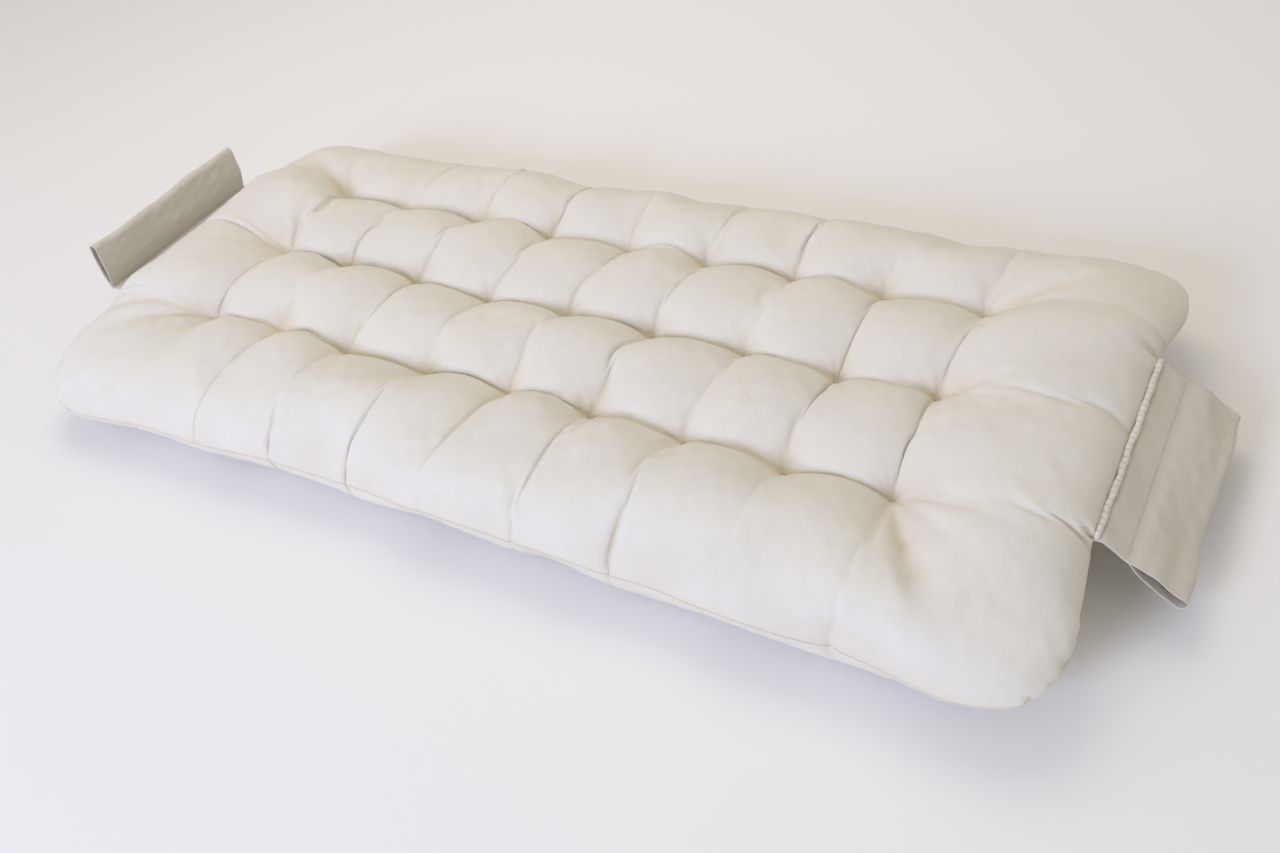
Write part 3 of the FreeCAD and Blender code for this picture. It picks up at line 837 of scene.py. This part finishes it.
def woven(name, colour, shade, pitch, crumple):
    """Plain-woven unbleached cotton: thread over thread, slubs and specks of seed, and painted shade, warmer
    and darker, in its folds.
    """
    made, tree, shader = new_material(name, 0.92, 0.12)
    place = add(tree, "Attribute", attribute_name="cut").outputs["Vector"]
    fold = add(tree, "Attribute", attribute_name="fold").outputs["Fac"]
    values = {"Vector": place, "Scale": 0.314 / pitch, "Distortion": 0.4}
    waves = [add(tree, "TexWave", values, bands_direction=way) for way in ("X", "Y")]
    weave = calculated(tree, "MULTIPLY", waves[0].outputs["Fac"], waves[1].outputs["Fac"])
    warp = noise(tree, place, 40, 2, (1, 28, 1))
    weft = noise(tree, place, 40, 2, (28, 1, 1))
    slubs = calculated(tree, "ADD", warp, weft)
    clouds = noise(tree, place, 7, 3)
    seeds = ranged(tree, noise(tree, place, 420, 0), 0.80, 0.84)
    tone = mixed(tree, ranged(tree, clouds, 0.35, 0.65), colour, shade)
    tone = mixed(tree, ranged(tree, slubs, 0.75, 1.25, 0.0, 0.35), tone, (*(c * 0.93 for c in colour[:3]), 1))
    # Painted shade: the cloth is darkened and warmed where the fold mask says it is drawn in.
    tone = mixed(tree, calculated(tree, "MULTIPLY", fold, 0.8), tone, PAINTED_CREASE_SHADE, "MULTIPLY")
    tone = mixed(tree, calculated(tree, "MULTIPLY", seeds, 0.35), tone, SEED_BROWN)
    tone = mixed(tree, ranged(tree, weave, 0.0, 1.0, 0.10, 0.0), tone, (*(c * 0.8 for c in colour[:3]), 1))
    tree.links.new(tone, shader.inputs["Base Color"])
    creases = noise(tree, place, crumple, 3)
    normal = bumps(tree, (creases, 0.0030, 0.55), (slubs, 0.0003, 0.5), (weave, 0.0002, 0.5))
    tree.links.new(normal, shader.inputs["Normal"])
    return made


def fleecy(name, colour):
    """Carded fibre: soft clumps, with single fibres showing on them."""
    made, tree, shader = new_material(name, 0.98, 0.5)
    place = add(tree, "Attribute", attribute_name="cut").outputs["Vector"]
    clumps = noise(tree, place, 55, 5)
    fibres = noise(tree, place, 260, 4, (1, 9, 1))
    tone = mixed(tree, clumps, (*(c * 0.86 for c in colour[:3]), 1), colour)
    tone = mixed(tree, ranged(tree, fibres, 0.45, 0.7, 0.0, 0.4), tone, (*(c * 0.8 for c in colour[:3]), 1))
    tree.links.new(tone, shader.inputs["Base Color"])
    tree.links.new(bumps(tree, (clumps, 0.006, 0.8), (fibres, 0.0008, 0.7)), shader.inputs["Normal"])
    return made


def twisted(name, colour, pitch):
    """Twisted thread: slanting plies with fibres standing off them."""
    made, tree, shader = new_material(name, 0.85, 0.2)
    place = add(tree, "TexCoord").outputs["Object"]
    values = {"Vector": place, "Scale": 0.314 / pitch, "Distortion": 1.5, "Detail Scale": 2.0}
    plies = add(tree, "TexWave", values, bands_direction="DIAGONAL").outputs["Fac"]
    fibres = noise(tree, place, 900, 3)
    tone = mixed(tree, plies, (*(c * 0.72 for c in colour[:3]), 1), colour)
    tone = mixed(tree, ranged(tree, fibres, 0.4, 0.7, 0.0, 0.3), tone, (*(c * 0.85 for c in colour[:3]), 1))
    tree.links.new(tone, shader.inputs["Base Color"])
    tree.links.new(bumps(tree, (plies, 0.0004, 0.8), (fibres, 0.0001, 0.5)), shader.inputs["Normal"])
    return made


def dress(piece, material):
    piece.data.materials.clear()
    piece.data.materials.append(material)


# Painted shade for the cover's creases, warm like light that has bounced about in them.
PAINTED_CREASE_SHADE = (0.86, 0.75, 0.56, 1)
SEED_BROWN = (0.42, 0.33, 0.20, 1)
cover_cotton = woven("cover_cotton", (0.82, 0.793, 0.705, 1), (0.78, 0.753, 0.67, 1), 0.0009, 38)
# The flaps' cotton is darker than the cover's: mostly painted shade, and partly a greyer cloth.
flap_cotton = woven("flap_cotton", (0.69, 0.655, 0.565, 1), (0.645, 0.61, 0.525, 1), 0.0011, 45)
wool_batting = fleecy("wool_batting", (0.80, 0.76, 0.66, 1))
cotton_batting = fleecy("cotton_batting", (0.86, 0.84, 0.78, 1))
tufting_twine = twisted("tufting_twine", (0.74, 0.68, 0.54, 1), 0.0016)
sewing_thread = twisted("sewing_thread", (0.80, 0.76, 0.66, 1), 0.0006)

# ---- everything in its place --------------------------------------------------------------------------

top, bottom = make_cover()
pucker(top)
pucker(bottom)
cover_piece(top, bottom)
for layer in ("wool_layer_bottom", "cotton_batt_lower", "core_batt", "cotton_batt_upper", "wool_layer_top"):
    filling_piece(layer, top, bottom)
for row in range(len(ROW_NAMES)):
    tie_row_piece(row)

for end, outward, seed in (("head", -1, 20), ("foot", 1, 30)):
    root, crease = joint_place(f"{end}_flap_root_fold"), joint_place(f"{end}_pocket_fold")
    web_piece(end, root, crease, outward)
    if end == "head":
        reach = np.array([0, 0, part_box("head_flap_pocket")[1].z - crease[2]])
    else:
        reach = toward(root, crease) * FOOT_POCKET_LENGTH
    pocket_piece(end, crease, reach, seed)
roll_piece()
whip_piece()
for name in ("head_pocket_stitching", "foot_pocket_stitching"):
    frame["nodes"][name].material_slots[0].material = sewing_thread

# ---- stage --------------------------------------------------------------------------------------------

FLOOR_HALF = 8
FLOOR_COLOUR = (0.90, 0.89, 0.87, 1)
# Each light's name, place, power, size and colour.
LIGHTS = (
    ("window", (-0.8, -5.2, 2.4), 195, 1.6, (0.62, 0.68, 1.0)),
    ("ceiling", (-0.9, 1.4, 3.2), 33, 2.4, (1.0, 0.90, 0.76)),
)
SKY_COLOUR = (1.0, 0.97, 0.92, 1)
SKY_STRENGTH = 0.55
# The camera, fitted to the photo: its direction seen from the target, its tilt, distance and lens.
VIEW_AZIMUTH = math.radians(36.0)
VIEW_ELEVATION = math.radians(41.25)
VIEW_ROLL = math.radians(-11.1)
VIEW_DISTANCE = 2.2006
VIEW_TARGET = Vector((0.1545, -0.0785, 0))
VIEW_LENS = 35.0


def make_floor():
    corners = [(x * FLOOR_HALF, y * FLOOR_HALF, 0) for x, y in ((-1, -1), (1, -1), (1, 1), (-1, 1))]
    floor = new_piece("floor", corners, [(0, 1, 2, 3)])
    paint = bpy.data.materials.new("floor")
    paint.use_nodes = True
    paint.node_tree.nodes["Principled BSDF"].inputs["Base Color"].default_value = FLOOR_COLOUR
    floor.data.materials.append(paint)


def make_light(name, place, energy, size, colour):
    light = bpy.data.lights.new(name, "AREA")
    light.energy = energy
    light.color = colour
    light.size = size
    lamp = bpy.data.objects.new(name, light)
    lamp.location = place
    lamp.rotation_mode = "QUATERNION"
    lamp.rotation_quaternion = (Vector((0, 0, 0)) - Vector(place)).to_track_quat("-Z", "Y")
    bpy.context.scene.collection.objects.link(lamp)


def make_camera():
    az, el = VIEW_AZIMUTH, VIEW_ELEVATION
    back = Vector((math.sin(az) * math.cos(el), -math.cos(az) * math.cos(el), math.sin(el)))
    right = Vector((math.cos(az), math.sin(az), 0))
    turned = right * math.cos(VIEW_ROLL) + back.cross(right) * math.sin(VIEW_ROLL)
    camera = bpy.data.objects.new("camera", bpy.data.cameras.new("camera"))
    camera.data.lens = VIEW_LENS
    camera.data.sensor_width = 36
    camera.matrix_world = Matrix((turned, back.cross(turned), back)).transposed().to_4x4()
    camera.location = VIEW_TARGET + back * VIEW_DISTANCE
    bpy.context.scene.collection.objects.link(camera)
    bpy.context.scene.camera = camera


make_floor()
for light in LIGHTS:
    make_light(*light)
world = bpy.data.worlds.new("studio")
world.use_nodes = True
world.node_tree.nodes["Background"].inputs["Color"].default_value = SKY_COLOUR
world.node_tree.nodes["Background"].inputs["Strength"].default_value = SKY_STRENGTH
bpy.context.scene.world = world
bpy.context.scene.view_settings.view_transform = "Standard"
make_camera()
